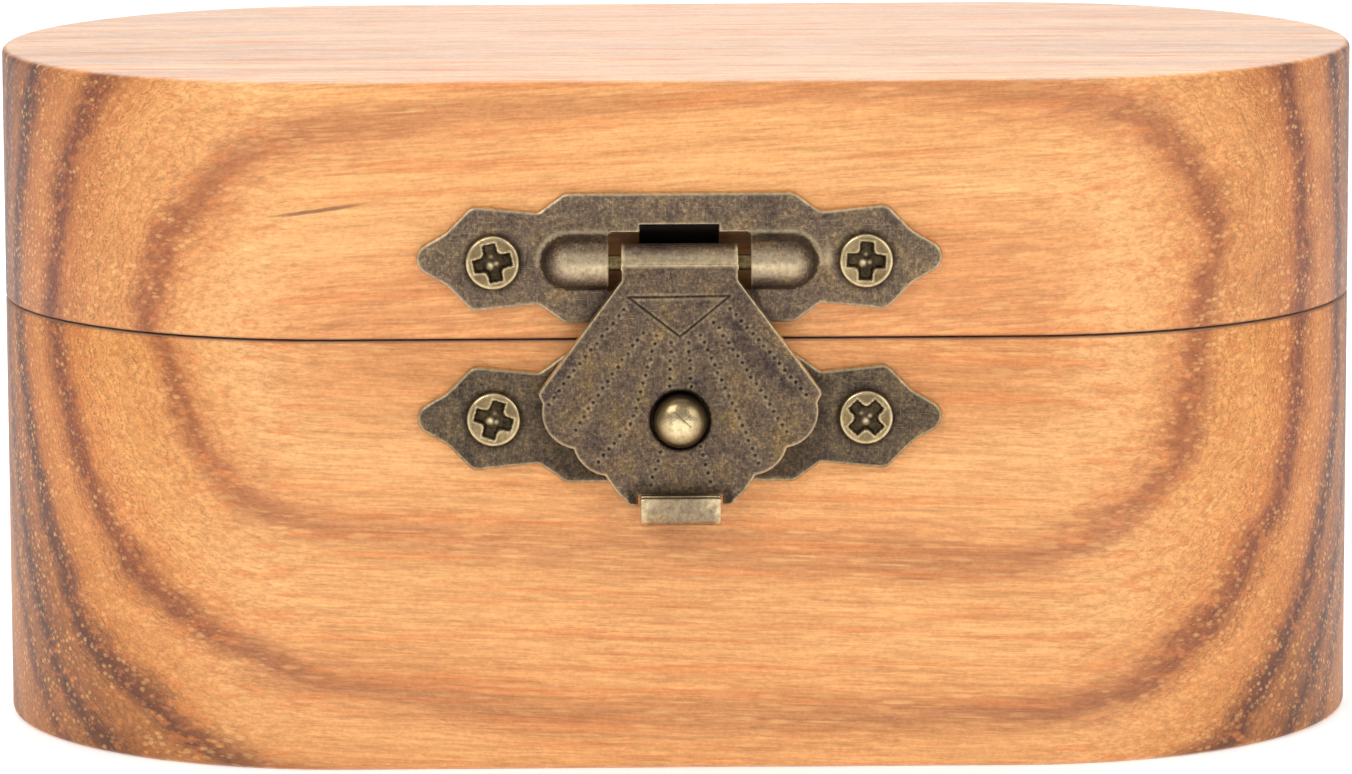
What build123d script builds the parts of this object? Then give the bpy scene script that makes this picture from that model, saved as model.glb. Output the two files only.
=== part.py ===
"""Wooden guitar pick box: an obround box with a hinged lid, a shell hasp in front and two butt hinges behind.

Millimetres. +X runs to the right along the box, +Z up, and the front faces -Y.
The origin is the centre of the flat underside.
"""

import os
from math import cos, radians

from build123d import *

os.makedirs("parts", exist_ok=True)

# Wooden box
box_length = 70.0
box_depth = 35.9
box_height = 34.9
seam_height = 21.9
seam_gap = 0.12
seam_chamfer = 0.1
wall = 4.5
base_floor = 4.0
lid_ceiling = 4.4
outer_round = 0.35
pocket_round = 1.2

# Shell hasp in front
latch_x = -0.2
sheet = 0.55
upper_plate_z = 26.05
lower_plate_z = 18.0
screw_spacing = 18.6
upper_screw_z = 25.9
lower_screw_z = 18.0
hasp_axis_z = 25.87
hasp_axis_stand_off = 0.75
hasp_pin_radius = 0.4
leaf_sheet = 0.5
leaf_bore_radius = 0.45
knob_z = 18.05
knob_radius = 1.3
knob_top = 2.9
hole_radius = 1.47

# Cross-head screws of the hasp
head_radius = 1.35
head_height = 0.42
screw_length = 4.4
thread_radius = 0.85
root_radius = 0.62
thread_pitch = 0.7
tip_length = 0.5
plain_length = 0.3
cross_span = 1.94
cross_width = 0.68
cross_depth = 0.75
cross_taper = 12

# Rear butt hinges
hinge_spacing = 19.4
hinge_width = 13.0
hinge_leaf_height = 6.6
hinge_sheet = 0.5
hinge_corner_round = 0.8
hinge_pin_radius = 0.5
hinge_bore_radius = 0.53
hinge_outer_radius = 1.05
knuckle_gap = 0.12
middle_knuckle = 4.6
hinge_screw_x = 4.1
hinge_screw_z = 3.9
small_head_radius = 1.25
small_screw_length = 4.2

# Planes that the fittings sit on, with X to the right as seen from outside and Z up
front_y = -box_depth / 2
back_y = box_depth / 2
front = Plane(origin=(latch_x, front_y, 0), x_dir=(1, 0, 0), z_dir=(0, -1, 0))
back = Plane(origin=(0, back_y, 0), x_dir=(-1, 0, 0), z_dir=(0, 1, 0))
base_top = seam_height - seam_gap / 2
lid_bottom = seam_height + seam_gap / 2
hasp_axis_y = front_y - hasp_axis_stand_off
knuckle_radius = leaf_bore_radius + leaf_sheet
hinge_axis_y = back_y + hinge_outer_radius
screw_places = (-screw_spacing / 2, screw_spacing / 2)
hinge_places = (-hinge_spacing / 2, hinge_spacing / 2)
hinge_screw_places = (-hinge_screw_x, hinge_screw_x)


def finish(part, name):
    """Label a finished piece and write it."""
    part.label = name
    export_step(part, f"parts/{name}.step")


# Wooden shells, with shallow holes behind the fittings
knuckle_pocket_width = 8.4
knuckle_pocket_top = 28.35
knuckle_pocket_bottom = 24.0
knuckle_pocket_depth = 1.5
knuckle_pocket_round = 0.5
rivet_hole_radius = 1.3
rivet_hole_depth = 0.7
pilot_clearance = 0.05
pilot_depth = screw_length - sheet + pilot_clearance
small_pilot_depth = small_screw_length - hinge_sheet + pilot_clearance
back_pilot_places = [hinge_x + x for hinge_x in hinge_places for x in hinge_screw_places]

with BuildPart() as base_shell:
    with BuildSketch(Plane.XY):
        SlotOverall(box_length, box_depth)
    extrude(amount=base_top)
    fillet(base_shell.faces().sort_by(Axis.Z)[0].edges(), radius=outer_round)
    chamfer(base_shell.faces().sort_by(Axis.Z)[-1].edges(), length=seam_chamfer)
    with BuildSketch(Plane.XY.offset(base_floor)):
        SlotOverall(box_length - 2 * wall, box_depth - 2 * wall)
    extrude(amount=base_top, mode=Mode.SUBTRACT)
    pocket_floor = base_shell.faces().filter_by(Axis.Z).group_by(Axis.Z)[1]
    fillet(pocket_floor.edges(), radius=pocket_round)
    with BuildSketch(front):
        for x in screw_places:
            with Locations((x, lower_screw_z)):
                Circle(root_radius)
    extrude(amount=-pilot_depth, mode=Mode.SUBTRACT)
    with BuildSketch(front):
        with Locations((0, knob_z)):
            Circle(rivet_hole_radius)
    extrude(amount=-rivet_hole_depth, mode=Mode.SUBTRACT)
    with BuildSketch(back):
        for x in back_pilot_places:
            with Locations((x, seam_height - hinge_screw_z)):
                Circle(root_radius)
    extrude(amount=-small_pilot_depth, mode=Mode.SUBTRACT)
finish(base_shell.part, "base_shell")

with BuildPart() as lid_shell:
    with BuildSketch(Plane.XY.offset(lid_bottom)):
        SlotOverall(box_length, box_depth)
    extrude(amount=box_height - lid_bottom)
    fillet(lid_shell.faces().sort_by(Axis.Z)[-1].edges(), radius=outer_round)
    chamfer(lid_shell.faces().sort_by(Axis.Z)[0].edges(), length=seam_chamfer)
    with BuildSketch(Plane.XY.offset(lid_bottom)):
        SlotOverall(box_length - 2 * wall, box_depth - 2 * wall)
    extrude(amount=box_height - lid_ceiling - lid_bottom, mode=Mode.SUBTRACT)
    pocket_ceiling = lid_shell.faces().filter_by(Axis.Z).group_by(Axis.Z)[-2]
    fillet(pocket_ceiling.edges(), radius=pocket_round)
    with BuildSketch(front):
        for x in screw_places:
            with Locations((x, upper_screw_z)):
                Circle(root_radius)
    extrude(amount=-pilot_depth, mode=Mode.SUBTRACT)
    # Pocket behind the hasp's knuckle
    with BuildSketch(front):
        with Locations((0, (knuckle_pocket_top + knuckle_pocket_bottom) / 2)):
            RectangleRounded(
                knuckle_pocket_width, knuckle_pocket_top - knuckle_pocket_bottom, radius=knuckle_pocket_round
            )
    extrude(amount=-knuckle_pocket_depth, mode=Mode.SUBTRACT)
    with BuildSketch(back):
        for x in back_pilot_places:
            with Locations((x, seam_height + hinge_screw_z)):
                Circle(root_radius)
    extrude(amount=-small_pilot_depth, mode=Mode.SUBTRACT)
finish(lid_shell.part, "lid_shell")

# Outline of both latch plates: one quarter's corners, each with the radius that rounds it
plate_quarter = [
    ((13.95, 0), 0.83),
    ((11.65, 1.33), 1.6),
    ((10.35, 2.66), 0.7),
    ((7.05, 2.33), 0.35),
    ((5.72, 3.29), 0.7),
]
upper_half = plate_quarter + [((-x, z), r) for (x, z), r in reversed(plate_quarter)]
lower_half = [((-x, -z), r) for (x, z), r in upper_half if z]
plate_corners = upper_half + lower_half
plate_rounds = [r for _, r in plate_corners]
plate_edge_round = 0.16
screw_hole_radius = 0.95


def plate_points(centre_z):
    """Corners of a plate whose middle is centre_z above the table."""
    return [(x, centre_z + z) for (x, z), _ in plate_corners]


# Plate on the lid, with half-barrels pressed out either side of a window
window_width = 7.1
window_top = 27.34
window_bottom = 24.4
barrel_radius = 1.3
barrel_length = 3.3
channel_length = 2.6
pin_end_gap = 0.05
cut_height = 3.0
hasp_profile = Plane(origin=(latch_x, 0, 0), x_dir=(0, 1, 0), z_dir=(1, 0, 0))

# Tab behind the knuckle: the sheet turns in at the window's top edge and drops behind the pin
tab_width = 3.96
tab_sheet = 0.49
tab_bend_radius = 0.4
tab_behind_y = front_y + 0.58
tab_line = [
    (front_y - sheet / 2, window_top + 0.9),
    (front_y - sheet / 2, window_top + 0.25),
    (tab_behind_y, window_top - 0.6),
    (tab_behind_y, hasp_axis_z - 0.6),
]

with BuildPart() as upper_latch_plate:
    with BuildSketch(front):
        with BuildLine():
            FilletPolyline(*plate_points(upper_plate_z), radius=plate_rounds, close=True)
        make_face()
        for x in screw_places:
            with Locations((x, upper_screw_z)):
                Circle(screw_hole_radius, mode=Mode.SUBTRACT)
    extrude(amount=sheet)
    front_face = upper_latch_plate.faces().sort_by(Axis.Y)[0]
    fillet(front_face.outer_wire().edges(), radius=plate_edge_round)
    barrel_start = window_width / 2
    straight = barrel_length - barrel_radius
    for side in (-1, 1):
        middle_x = latch_x + side * (barrel_start + straight / 2)
        with Locations(Location((middle_x, hasp_axis_y, hasp_axis_z))):
            Cylinder(barrel_radius, straight, rotation=(0, 90, 0))
        end_x = latch_x + side * (barrel_start + straight)
        with Locations(Location((end_x, hasp_axis_y, hasp_axis_z))):
            Sphere(barrel_radius)
    split(bisect_by=Plane(front.origin, z_dir=front.z_dir), keep=Keep.TOP)
    with BuildSketch(front):
        with Locations((0, (window_top + window_bottom) / 2)):
            Rectangle(window_width, window_top - window_bottom)
    extrude(amount=cut_height, mode=Mode.SUBTRACT)
    # Channel for the pin, open towards the wood
    with BuildSketch(hasp_profile):
        with Locations((hasp_axis_y, hasp_axis_z)):
            Circle(leaf_bore_radius)
        with Locations(((hasp_axis_y + front_y) / 2, hasp_axis_z)):
            Rectangle(hasp_axis_stand_off, 2 * leaf_bore_radius)
    extrude(amount=window_width / 2 + channel_length, both=True, mode=Mode.SUBTRACT)
    with BuildSketch(hasp_profile):
        with BuildLine():
            FilletPolyline(*tab_line, radius=tab_bend_radius)
        trace(line_width=tab_sheet)
    extrude(amount=tab_width / 2, both=True)
finish(upper_latch_plate.part, "upper_latch_plate")

# Plate on the base, with a hole for the knob's rivet
rivet_radius = 0.7

with BuildPart() as lower_latch_plate:
    with BuildSketch(front):
        with BuildLine():
            FilletPolyline(*plate_points(lower_plate_z), radius=plate_rounds, close=True)
        make_face()
        for x in screw_places:
            with Locations((x, lower_screw_z)):
                Circle(screw_hole_radius, mode=Mode.SUBTRACT)
        with Locations((0, knob_z)):
            Circle(rivet_radius, mode=Mode.SUBTRACT)
    extrude(amount=sheet)
    front_face = lower_latch_plate.faces().sort_by(Axis.Y)[0]
    fillet(front_face.outer_wire().edges(), radius=plate_edge_round)
finish(lower_latch_plate.part, "lower_latch_plate")

# Catch knob: a domed stud, riveted through the plate into the hole in the wood
rivet_tail_radius = 1.05
rivet_tail = 0.45
dome_start = 2.1
dome_shoulder = (1.056, 2.596)
dome_crown = (0.45, 2.86)

with BuildPart() as catch_knob:
    with BuildSketch(Plane(origin=(latch_x, front_y, knob_z), x_dir=(1, 0, 0), z_dir=(0, 0, 1))):
        with BuildLine():
            Polyline(
                (0, rivet_tail),
                (rivet_tail_radius, rivet_tail),
                (rivet_tail_radius, 0),
                (rivet_radius, 0),
                (rivet_radius, -sheet),
                (knob_radius, -sheet),
                (knob_radius, -dome_start),
            )
            ThreePointArc(
                (knob_radius, -dome_start),
                (dome_shoulder[0], -dome_shoulder[1]),
                (dome_crown[0], -dome_crown[1]),
            )
            Polyline((dome_crown[0], -dome_crown[1]), (0, -knob_top), (0, rivet_tail))
        make_face()
    revolve(axis=Axis((latch_x, front_y, knob_z), (0, 1, 0)))
finish(catch_knob.part, "catch_knob")

# Hasp pin, lying in the channels of both half-barrels
with BuildPart() as hasp_pin:
    with BuildSketch(Plane(origin=(latch_x, hasp_axis_y, hasp_axis_z), x_dir=(0, 1, 0), z_dir=(1, 0, 0))):
        Circle(hasp_pin_radius)
    extrude(amount=window_width / 2 + channel_length - pin_end_gap, both=True)
finish(hasp_pin.part, "hasp_pin")

# Hasp leaf: a scalloped shell, rolled round the pin above and curled into a finger lip below
knuckle_half_width = 2.92
shoulder_z = 25.1
flare = (7.12, 19.4)
flare_round = 0.3
scallops = [(6.87, 18.9), (5.34, 16.62), (3.75, 15.25), (2.5, 13.74)]
scallop_bulges = [(6.5, 17.3), (4.9, 15.85), (3.22, 14.45)]
low_corner_round = 0.35
lip_half_width = 2.0
lip_slit = 0.12
lip_slit_height = 0.5
lip_inner_radius = 0.25
lip_bottom = 12.8
lip_top = 14.25
curl_opening = 50
engraving_depth = 0.07
engraving_width = 0.16
engraving = [(-2.55, 24.25), (2.5, 24.3), (0, 22.26)]
leaf_front_y = hasp_axis_y - knuckle_radius
leaf_back_y = leaf_front_y + leaf_sheet
leaf_plane = Plane(origin=(latch_x, leaf_back_y, 0), x_dir=(1, 0, 0), z_dir=(0, -1, 0))
flare_z = flare[1]
leaf_bottom = scallops[-1][1]
level_tolerance = 0.01

with BuildPart() as hasp_leaf:
    with BuildSketch(leaf_plane):
        with BuildLine():
            Polyline(
                (0, hasp_axis_z),
                (knuckle_half_width, hasp_axis_z),
                (knuckle_half_width, shoulder_z),
                flare,
                scallops[0],
            )
            for start, bulge, end in zip(scallops, scallop_bulges, scallops[1:]):
                ThreePointArc(start, bulge, end)
            Line(scallops[-1], (0, leaf_bottom))
            mirror(about=Plane.YZ)
        make_face()
    extrude(amount=leaf_sheet)
    for corner_z, corner_round in ((flare_z, flare_round), (leaf_bottom, low_corner_round)):
        through_edges = hasp_leaf.edges().filter_by(Axis.Y)
        corners = through_edges.filter_by_position(
            Axis.Z, corner_z - level_tolerance, corner_z + level_tolerance
        )
        fillet(corners, radius=corner_round)
    # Rolled knuckle, open where the curl comes back to the leaf
    with BuildSketch(hasp_profile):
        with Locations((hasp_axis_y, hasp_axis_z)):
            Circle(knuckle_radius)
            Circle(leaf_bore_radius, mode=Mode.SUBTRACT)
    extrude(amount=knuckle_half_width, both=True)
    with BuildSketch(hasp_profile):
        with BuildLine():
            reach = 2 * knuckle_radius
            opening_z = hasp_axis_z - leaf_bore_radius / 2
            Polyline(
                (hasp_axis_y, opening_z),
                (hasp_axis_y, hasp_axis_z - reach),
                (leaf_back_y, hasp_axis_z - reach * cos(radians(curl_opening))),
                (leaf_back_y, opening_z),
                close=True,
            )
        make_face()
    extrude(amount=knuckle_half_width, both=True, mode=Mode.SUBTRACT)
    # Hole for the knob
    with BuildSketch(leaf_plane):
        with Locations((0, knob_z)):
            Circle(hole_radius)
    extrude(amount=leaf_sheet, mode=Mode.SUBTRACT)
    # Slits that free the lip from the leaf's lower edge
    slit_top = leaf_bottom + lip_slit_height
    with BuildSketch(leaf_plane):
        for side in (-1, 1):
            with Locations((side * (lip_half_width + lip_slit / 2), leaf_bottom)):
                Rectangle(lip_slit, 2 * lip_slit_height)
    extrude(amount=leaf_sheet, mode=Mode.SUBTRACT)
    # Finger lip: the sheet runs down, turns forward and comes up again
    with BuildSketch(hasp_profile):
        lip_outer_radius = lip_inner_radius + leaf_sheet
        lip_axis_y = leaf_front_y - lip_inner_radius
        lip_axis_z = lip_bottom + lip_outer_radius
        lip_front_y = lip_axis_y - lip_outer_radius
        lip_inside_y = lip_axis_y - lip_inner_radius
        with BuildLine():
            Line((leaf_back_y, slit_top), (leaf_back_y, lip_axis_z))
            ThreePointArc((leaf_back_y, lip_axis_z), (lip_axis_y, lip_bottom), (lip_front_y, lip_axis_z))
            Line((lip_front_y, lip_axis_z), (lip_front_y, lip_top))
            Line((lip_front_y, lip_top), (lip_inside_y, lip_top))
            Line((lip_inside_y, lip_top), (lip_inside_y, lip_axis_z))
            lip_inside_low = (lip_axis_y, lip_axis_z - lip_inner_radius)
            ThreePointArc((lip_inside_y, lip_axis_z), lip_inside_low, (leaf_front_y, lip_axis_z))
            Line((leaf_front_y, lip_axis_z), (leaf_front_y, slit_top))
            Line((leaf_front_y, slit_top), (leaf_back_y, slit_top))
        make_face()
    extrude(amount=lip_half_width, both=True)
    # Engraved triangle above the shell's ribs
    with BuildSketch(leaf_plane.offset(leaf_sheet - engraving_depth)):
        with BuildLine():
            Polyline(*engraving, close=True)
        trace(line_width=engraving_width)
    extrude(amount=2 * engraving_depth, mode=Mode.SUBTRACT)
finish(hasp_leaf.part, "hasp_leaf")


def cross_recess(plane, turn):
    """Tapered cross to cut into a screw head, from the head's top down."""
    with BuildPart() as recess:
        with BuildSketch(plane):
            with Locations(Rotation(0, 0, turn)):
                Rectangle(cross_span, cross_width)
                Rectangle(cross_width, cross_span)
        extrude(amount=-cross_depth, taper=cross_taper)
    return recess.part


def screw(x, z, plane, turn, head, seat, length):
    """A ringed wood screw. head is its half profile from the neck up, and seat the height it sits at."""
    axis_point = plane.from_local_coords((x, z, 0))
    profile = Plane(origin=axis_point, x_dir=plane.x_dir, z_dir=plane.y_dir)
    outwards = 1 if profile.y_dir.Y * plane.z_dir.Y > 0 else -1
    top = max(height for _, height in head)
    tip = seat - length
    with BuildPart() as body_of_screw:
        with BuildSketch(profile):
            with BuildLine():
                points = [(0, tip), (root_radius / 2, tip + tip_length)]
                height = tip + tip_length + thread_pitch / 2
                while height + thread_pitch < seat - sheet - plain_length:
                    points.append((root_radius, height))
                    points.append((thread_radius, height + thread_pitch / 2))
                    height += thread_pitch
                points += [(root_radius, height), *head, (0, top)]
                Polyline(*[(radius, outwards * level) for radius, level in points], close=True)
            make_face()
        revolve(axis=Axis(axis_point, plane.z_dir))
        head_plane = Plane(profile.origin + plane.z_dir * top, plane.x_dir, plane.z_dir)
        add(cross_recess(head_plane, turn), mode=Mode.SUBTRACT)
    return body_of_screw.part


# Pan-head screws of the hasp. Each one stops at its own turn, in degrees
head_top = sheet + head_height
pan_head = [
    (root_radius, sheet),
    (head_radius, sheet),
    (head_radius, head_top - 0.2),
    (head_radius - 0.15, head_top - 0.04),
    (head_radius - 0.4, head_top),
]
latch_screws = {
    "latch_screw_upper_left": (screw_places[0], upper_screw_z, 12),
    "latch_screw_upper_right": (screw_places[1], upper_screw_z, -3),
    "latch_screw_lower_left": (screw_places[0], lower_screw_z, -17),
    "latch_screw_lower_right": (screw_places[1], lower_screw_z, 45),
}
for name, (x, z, turn) in latch_screws.items():
    finish(screw(x, z, front, turn, pan_head, sheet, screw_length), name)

# Raised countersunk screws of the hinges
countersink_depth = 0.62
countersink_gap = 0.04
sink_slope = (small_head_radius - root_radius) / countersink_depth
sink_radius = small_head_radius + countersink_gap
raised_head = [
    (root_radius, hinge_sheet - countersink_depth),
    (small_head_radius, hinge_sheet),
    (small_head_radius - 0.25, hinge_sheet + 0.17),
    (small_head_radius - 0.6, hinge_sheet + 0.25),
]
turn_by_number, turn_by_half, turn_by_side = 23, 31, 11

# Hinge pins
pin_head_radius = 0.8
pin_head_height = 0.35
pin_head_round = 0.25


def hinge_leaf(hinge_x, up, knuckles, notches):
    """A leaf flat on the back of the box. up is 1 for the lid's leaf and -1 for the base's."""
    screw_z = seam_height + up * hinge_screw_z
    with BuildPart() as leaf:
        with BuildSketch(back):
            with Locations((-hinge_x, seam_height + up * hinge_leaf_height / 2)):
                Rectangle(hinge_width, hinge_leaf_height)
        extrude(amount=hinge_sheet)
        outer_corners = leaf.edges().filter_by(Axis.Y).group_by(Axis.Z)[-1 if up > 0 else 0]
        fillet(outer_corners, radius=hinge_corner_round)
        for low, high in notches:
            with BuildSketch(back):
                with Locations((-hinge_x - (low + high) / 2, seam_height)):
                    Rectangle(high - low, 2 * (hinge_outer_radius + knuckle_gap))
            extrude(amount=hinge_sheet, mode=Mode.SUBTRACT)
        for low, high in knuckles:
            knuckle_start = (hinge_x + low, hinge_axis_y, seam_height)
            with BuildSketch(Plane(origin=knuckle_start, x_dir=(0, 1, 0), z_dir=(1, 0, 0))):
                Circle(hinge_outer_radius)
                Circle(hinge_bore_radius, mode=Mode.SUBTRACT)
            extrude(amount=high - low)
        for x in hinge_screw_places:
            hole_centre = (hinge_x + x, back_y, screw_z)
            with BuildSketch(Plane(origin=hole_centre, x_dir=(1, 0, 0), z_dir=(0, 0, 1))):
                with BuildLine():
                    Polyline(
                        (0, 0),
                        (sink_radius - hinge_sheet * sink_slope, 0),
                        (sink_radius, hinge_sheet),
                        (0, hinge_sheet),
                        close=True,
                    )
                make_face()
            revolve(axis=Axis(hole_centre, (0, 1, 0)), mode=Mode.SUBTRACT)
    return leaf.part


half_width = hinge_width / 2
half_middle = middle_knuckle / 2
outer_knuckles = [(-half_width, -half_middle - knuckle_gap), (half_middle + knuckle_gap, half_width)]
inner_knuckles = [(-half_middle, half_middle)]
outer_notches = [(-half_width, -half_middle), (half_middle, half_width)]
inner_notches = [(-half_middle - knuckle_gap, half_middle + knuckle_gap)]

for side, place in (("left", -1), ("right", 1)):
    hinge_x = place * hinge_spacing / 2
    finish(hinge_leaf(hinge_x, -1, outer_knuckles, inner_notches), f"{side}_hinge_base_leaf")
    finish(hinge_leaf(hinge_x, 1, inner_knuckles, outer_notches), f"{side}_hinge_lid_leaf")
    pin_middle = (hinge_x, hinge_axis_y, seam_height)
    with BuildPart() as hinge_pin:
        with BuildSketch(Plane(origin=pin_middle, x_dir=(0, 1, 0), z_dir=(1, 0, 0))):
            Circle(hinge_pin_radius)
        extrude(amount=half_width, both=True)
        for end in (-1, 1):
            head_x = hinge_x + end * (half_width + pin_head_height / 2)
            with Locations(Location((head_x, hinge_axis_y, seam_height))):
                Cylinder(pin_head_radius, pin_head_height, rotation=(0, 90, 0))
        end_faces = hinge_pin.faces().filter_by(Axis.X).sort_by(Axis.X)
        fillet(end_faces[0].edges() + end_faces[-1].edges(), radius=pin_head_round)
    finish(hinge_pin.part, f"{side}_hinge_pin")
    for half, up in (("base", -1), ("lid", 1)):
        screw_z = seam_height + up * hinge_screw_z
        for number, x in enumerate(hinge_screw_places, start=1):
            turn = turn_by_number * number + turn_by_half * up + turn_by_side * place
            made = screw(-(hinge_x + x), screw_z, back, turn, raised_head, hinge_sheet, small_screw_length)
            finish(made, f"{side}_hinge_{half}_screw_{number}")
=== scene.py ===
"""Looks of the wooden guitar pick box: figured wood shells, and an antiqued brass hasp and hinges."""

from math import cos, hypot, pi, radians, sin

import bmesh
import bpy
import numpy as np
from mathutils import Matrix, Vector
from mathutils.geometry import delaunay_2d_cdt


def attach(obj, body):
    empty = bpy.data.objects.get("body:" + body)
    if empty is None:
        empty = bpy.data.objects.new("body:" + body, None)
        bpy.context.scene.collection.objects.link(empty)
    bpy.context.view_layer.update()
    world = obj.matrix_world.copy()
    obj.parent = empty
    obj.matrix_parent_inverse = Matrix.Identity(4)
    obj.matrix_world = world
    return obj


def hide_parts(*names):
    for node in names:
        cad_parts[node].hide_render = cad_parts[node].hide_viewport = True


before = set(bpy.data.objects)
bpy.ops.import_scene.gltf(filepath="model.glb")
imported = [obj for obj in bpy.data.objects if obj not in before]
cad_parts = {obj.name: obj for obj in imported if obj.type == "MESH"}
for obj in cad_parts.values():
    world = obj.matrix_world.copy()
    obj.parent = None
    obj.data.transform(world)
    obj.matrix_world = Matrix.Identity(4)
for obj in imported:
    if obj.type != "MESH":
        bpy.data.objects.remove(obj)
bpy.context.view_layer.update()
mm = 0.001

# Sizes in millimetres, the same as the part's own
box_length, box_depth, box_height = 70.0, 35.9, 34.9
seam_height, seam_gap, seam_bevel = 21.9, 0.12, 0.1
wall, base_floor, lid_ceiling, pocket_round, outer_round = 4.5, 4.0, 4.4, 1.2, 0.35
latch_x, sheet, leaf_sheet = -0.2, 0.55, 0.5
upper_plate_z, lower_plate_z, knob_z = 26.05, 18.0, 18.05
hasp_axis_z, hasp_stand_off, leaf_bore = 25.87, 0.75, 0.45
knuckle_radius = leaf_bore + leaf_sheet
front_y, back_y = -box_depth / 2, box_depth / 2
hasp_axis_y = front_y - hasp_stand_off
leaf_back_y = hasp_axis_y - leaf_bore


def put(name, data):
    """A new object in the scene."""
    made = bpy.data.objects.new(name, data)
    bpy.context.collection.objects.link(made)
    return made


# Camera, matched to the photograph

view_yaw, view_pitch, view_roll = 0.0169, 0.1579, -0.0036
view_distance, view_offset, view_height = 389.88, -0.078, 78.69
focal_pixels, photo_width, sensor = 7533.1, 1352, 36.0

camera_data = bpy.data.cameras.new("camera")
camera_data.lens = focal_pixels / photo_width * sensor
camera_data.sensor_width = sensor
camera_data.clip_start, camera_data.clip_end = 0.01, 20
camera = put("camera", camera_data)
turn = Matrix.Rotation(-view_yaw, 4, "Z")
stand = Matrix.Translation(Vector((view_offset, -view_distance, view_height)) * mm)
tilt = Matrix.Rotation(pi / 2 - view_pitch, 4, "X") @ Matrix.Rotation(view_roll, 4, "Z")
camera.matrix_world = turn @ stand @ tilt
bpy.context.scene.camera = camera


# Materials


def srgb(colour):
    """A colour given in the usual 0 to 255, as Blender's linear one."""
    return [((c / 255 + 0.055) / 1.055) ** 2.4 if c > 10 else c / 255 / 12.92 for c in colour] + [1.0]


class Nodes:
    """A node tree and short calls that add to it."""

    def __init__(self, tree, slope=0.0):
        self.tree, self.slope = tree, slope

    def node(self, kind, values=(), **settings):
        made = self.tree.nodes.new("ShaderNode" + kind)
        for key, value in settings.items():
            setattr(made, key, value)
        for key, value in dict(values).items():
            self.feed(made.inputs[key], value)
        return made

    def feed(self, socket, value):
        if isinstance(value, bpy.types.NodeSocket):
            self.tree.links.new(value, socket)
        else:
            socket.default_value = value

    def math(self, operation, *values, clamp=False):
        made = self.node("Math", operation=operation, use_clamp=clamp)
        for socket, value in zip(made.inputs, values):
            self.feed(socket, value)
        return made.outputs[0]

    def plus(self, first, second):
        return self.math("ADD", first, second)

    def minus(self, first, second):
        return self.math("SUBTRACT", first, second)

    def times(self, first, second, clamp=False):
        return self.math("MULTIPLY", first, second, clamp=clamp)

    def squared(self, value):
        return self.times(value, value)

    def size(self, value):
        return self.math("ABSOLUTE", value)

    def axes(self, vector):
        """The X, Y and Z of a vector, by those names."""
        return self.node("SeparateXYZ", {"Vector": vector}).outputs

    def place(self, stretch):
        """Coordinates fixed to the piece, in millimetres times stretch. The grain rises by slope along X."""
        coords = self.node("TexCoord").outputs["Object"]
        if self.slope:
            at = self.axes(coords)
            level = self.minus(at["Z"], self.times(at["X"], self.slope))
            coords = self.node("CombineXYZ", {"X": at["X"], "Y": at["Y"], "Z": level}).outputs[0]
        values = {0: coords, 1: [s / mm for s in stretch]}
        return self.node("VectorMath", values, operation="MULTIPLY").outputs[0]

    def noise(self, stretch, detail=2.0, rough=0.5, distortion=0.0, seed=0.0):
        """Noise from about 0 to 1 whose grain size is set by stretch, in cycles a millimetre."""
        values = {"Scale": 1.0, "Detail": detail, "Roughness": rough, "Distortion": distortion, "W": seed}
        values["Vector"] = self.place(stretch)
        return self.node("TexNoise", values, noise_dimensions="4D").outputs["Fac"]

    def from_cell(self, stretch):
        """Distance from the nearest of many scattered points."""
        return self.node("TexVoronoi", {"Scale": 1.0, "Vector": self.place(stretch)}).outputs["Distance"]

    def spread(self, value, low, high, to_low=0.0, to_high=1.0):
        values = {"Value": value, "From Min": low, "From Max": high, "To Min": to_low, "To Max": to_high}
        return self.node("MapRange", values).outputs["Result"]

    def ramp(self, value, stops, smooth="EASE"):
        made = self.node("ValToRGB", {"Fac": value})
        ramp = made.color_ramp
        ramp.interpolation = smooth
        while len(ramp.elements) > 1:
            ramp.elements.remove(ramp.elements[-1])
        for number, (at, colour) in enumerate(stops):
            element = ramp.elements[0] if number == 0 else ramp.elements.new(at)
            element.position = at
            element.color = srgb(colour)
        return made.outputs["Color"]

    def mix(self, amount, first, second, blend="MIX"):
        made = self.node("Mix", {0: amount}, data_type="RGBA", blend_type=blend)
        for socket, value in ((6, first), (7, second)):
            self.feed(made.inputs[socket], srgb(value) if isinstance(value, tuple) else value)
        return made.outputs[2]

    def scaled(self, colour, factor):
        return self.node("VectorMath", {0: colour, "Scale": factor}, operation="SCALE").outputs[0]

    def shaded(self, colour, value, low, high, darkest, brightest):
        """The colour, darker and warmer or brighter with a value."""
        warm = self.mix(self.spread(value, low, high), (255, 248, 238), (255, 255, 255))
        lit = self.scaled(colour, self.spread(value, low, high, darkest, brightest))
        return self.mix(1.0, lit, warm, "MULTIPLY")

    def painted(self, name):
        """A number painted on the piece's vertices."""
        return self.node("Attribute", attribute_name=name).outputs["Fac"]


class Paint(Nodes):
    """A procedural material."""

    def __init__(self, name, slope=0.0, **sockets):
        self.material = bpy.data.materials.new(name)
        self.material.use_nodes = True
        super().__init__(self.material.node_tree, slope)
        self.inputs = self.tree.nodes["Principled BSDF"].inputs
        for socket, value in sockets.items():
            self.inputs[socket.replace("_", " ")].default_value = value

    def finish(self, colour, rough, height, distance, strength):
        """Feeds the shader, with bumps as high as height times distance."""
        bump = self.node("Bump", {"Height": height, "Distance": distance * mm, "Strength": strength})
        for key, value in (("Base Color", colour), ("Roughness", rough), ("Normal", bump.outputs["Normal"])):
            self.feed(self.inputs[key], value)
        return self.material


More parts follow.
